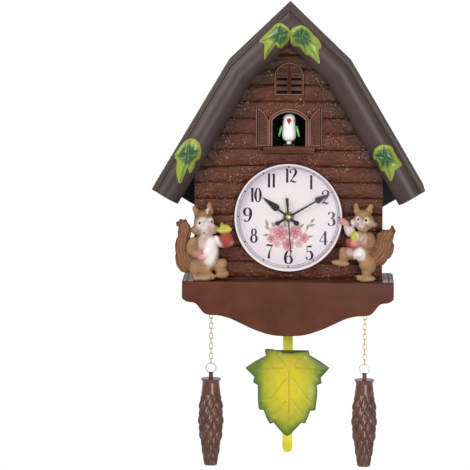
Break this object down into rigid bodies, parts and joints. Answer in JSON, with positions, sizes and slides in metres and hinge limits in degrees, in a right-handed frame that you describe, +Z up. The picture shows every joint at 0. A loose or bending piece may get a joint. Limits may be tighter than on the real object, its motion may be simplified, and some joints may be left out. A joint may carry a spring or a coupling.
{
  "type": "pendulum wall clock",
  "caption": "Log-cabin wall clock with a gambrel roof, round dial, bird window, leaf pendulum, squirrel figures and pine-cone weights hanging on chains.",
  "frame": {"origin": "centre of the round part of the hanging keyhole, on the back plane that lies on the wall", "axes": "+Z up, +X to the viewer's right, the dial faces -Y"},
  "size_m": [0.3276, 0.1114, 0.5656],
  "materials": {
    "roof_brown": "satin grey-brown moulding",
    "log_brown": "dark red-brown moulded logs, glossy with pale specks",
    "apron_brown": "smooth red-brown",
    "shelf_grey": "grey-washed planks",
    "black_plastic": "black",
    "bezel_brown": "dark brown",
    "dial_paper": "printed white with a lilac tint",
    "lens_clear": "clear",
    "movement_plastic": "black",
    "hand_black": "satin black",
    "brass": "bright",
    "steel": "bright",
    "rubber": "black",
    "cell_wrap": "plain",
    "circuit_green": "green",
    "leaf_green": "green centre and yellow-green edge, glossy",
    "pendulum_green": "yellow-green",
    "rod_yellow": "yellow-green",
    "squirrel_resin": "painted cast resin, tan and white",
    "cone_brown": "dark brown",
    "bird_white": "white",
    "beak_red": "red",
    "wing_green": "green"
  },
  "bodies": {
    "case": {"roof_shell": "roof_brown", "log_front": "log_brown", "case_frame": "log_brown", "rear_cover": "black_plastic", "case_screws": "steel", "shelf_base": "shelf_grey", "apron_board": "apron_brown", "attic_vent": "log_brown", "window_frame": "log_brown", "left_shutter": "log_brown", "right_shutter": "log_brown", "bird_box": "black_plastic", "bird_solenoid": "steel", "dial_plate": "dial_paper", "bezel_ring": "bezel_brown", "dial_lens": "lens_clear", "movement_case": "movement_plastic", "dial_washer": "rubber", "dial_nut": "brass", "movement_cell": "cell_wrap", "pendulum_drive": "movement_plastic", "chain_hooks": "brass", "battery_box": "black_plastic", "battery_cells": "cell_wrap", "battery_contacts": "steel", "speaker": "steel", "sound_board": "circuit_green", "switch_housing": "black_plastic", "peak_leaves": "leaf_green", "left_roof_leaf": "leaf_green", "right_roof_leaf": "leaf_green", "left_squirrel": "squirrel_resin", "right_squirrel": "squirrel_resin"},
    "hour_hand": {"hour_hand": "hand_black"},
    "minute_hand": {"minute_hand": "hand_black"},
    "second_hand": {"second_hand": "hand_black"},
    "setting_knob": {"setting_knob": "movement_plastic"},
    "pendulum": {"pendulum_rod": "rod_yellow", "leaf_bob": "pendulum_green", "drive_magnet": "steel"},
    "bird": {"bird_carriage": "black_plastic", "bird_plunger": "steel", "bird_body": "bird_white", "bird_beak": "beak_red", "bird_wings": "wing_green"},
    "battery_door": {"battery_door": "black_plastic"},
    "sound_switch": {"sound_switch": "black_plastic"},
    "left_chain": {"left_chain": "brass", "left_ring": "steel"},
    "right_chain": {"right_chain": "brass", "right_ring": "steel"},
    "left_weight": {"left_cone": "cone_brown"},
    "right_weight": {"right_cone": "cone_brown"}
  },
  "joints": [
    {"name": "minute_turn", "type": "hinge", "parent": "case", "child": "minute_hand", "pos_m": [0, 0, -0.1413], "axis": [0, 1, 0], "continuous": true},
    {"name": "hour_turn", "type": "hinge", "parent": "case", "child": "hour_hand", "pos_m": [0, 0, -0.1413], "axis": [0, 1, 0], "continuous": true},
    {"name": "second_turn", "type": "hinge", "parent": "case", "child": "second_hand", "pos_m": [0, 0, -0.1413], "axis": [0, 1, 0], "continuous": true},
    {"name": "knob_turn", "type": "hinge", "parent": "case", "child": "setting_knob", "pos_m": [0.014, 0, -0.1273], "axis": [0, 1, 0], "continuous": true},
    {"name": "pendulum_swing", "type": "hinge", "parent": "case", "child": "pendulum", "pos_m": [0, -0.045, -0.1833], "axis": [0, 1, 0], "range_deg": [-7, 7]},
    {"name": "bird_push", "type": "slide", "parent": "case", "child": "bird", "axis": [0, -1, 0], "range_m": [0, 0.018]},
    {"name": "battery_door_pull", "type": "slide", "parent": "case", "child": "battery_door", "axis": [0, 1, 0], "range_m": [0, 0.02]},
    {"name": "sound_switch_slide", "type": "slide", "parent": "case", "child": "sound_switch", "axis": [1, 0, 0], "range_m": [-0.003, 0.003]},
    {"name": "left_chain_swing", "type": "hinge", "parent": "case", "child": "left_chain", "pos_m": [-0.0936, -0.05, -0.2567], "axis": [0, 1, 0], "range_deg": [-12, 12]},
    {"name": "left_weight_swing", "type": "hinge", "parent": "left_chain", "child": "left_weight", "pos_m": [-0.0936, -0.05, -0.3355], "axis": [1, 0, 0], "range_deg": [-12, 12]},
    {"name": "right_chain_swing", "type": "hinge", "parent": "case", "child": "right_chain", "pos_m": [0.0936, -0.05, -0.2567], "axis": [0, 1, 0], "range_deg": [-12, 12]},
    {"name": "right_weight_swing", "type": "hinge", "parent": "right_chain", "child": "right_weight", "pos_m": [0.0936, -0.05, -0.3355], "axis": [1, 0, 0], "range_deg": [-12, 12]}
  ],
  "couplings": [
    {"joint": "hour_turn", "follows": "minute_turn", "ratio": 0.083333},
    {"joint": "second_turn", "follows": "minute_turn", "ratio": 60},
    {"joint": "knob_turn", "follows": "minute_turn", "ratio": -0.33333}
  ]
}
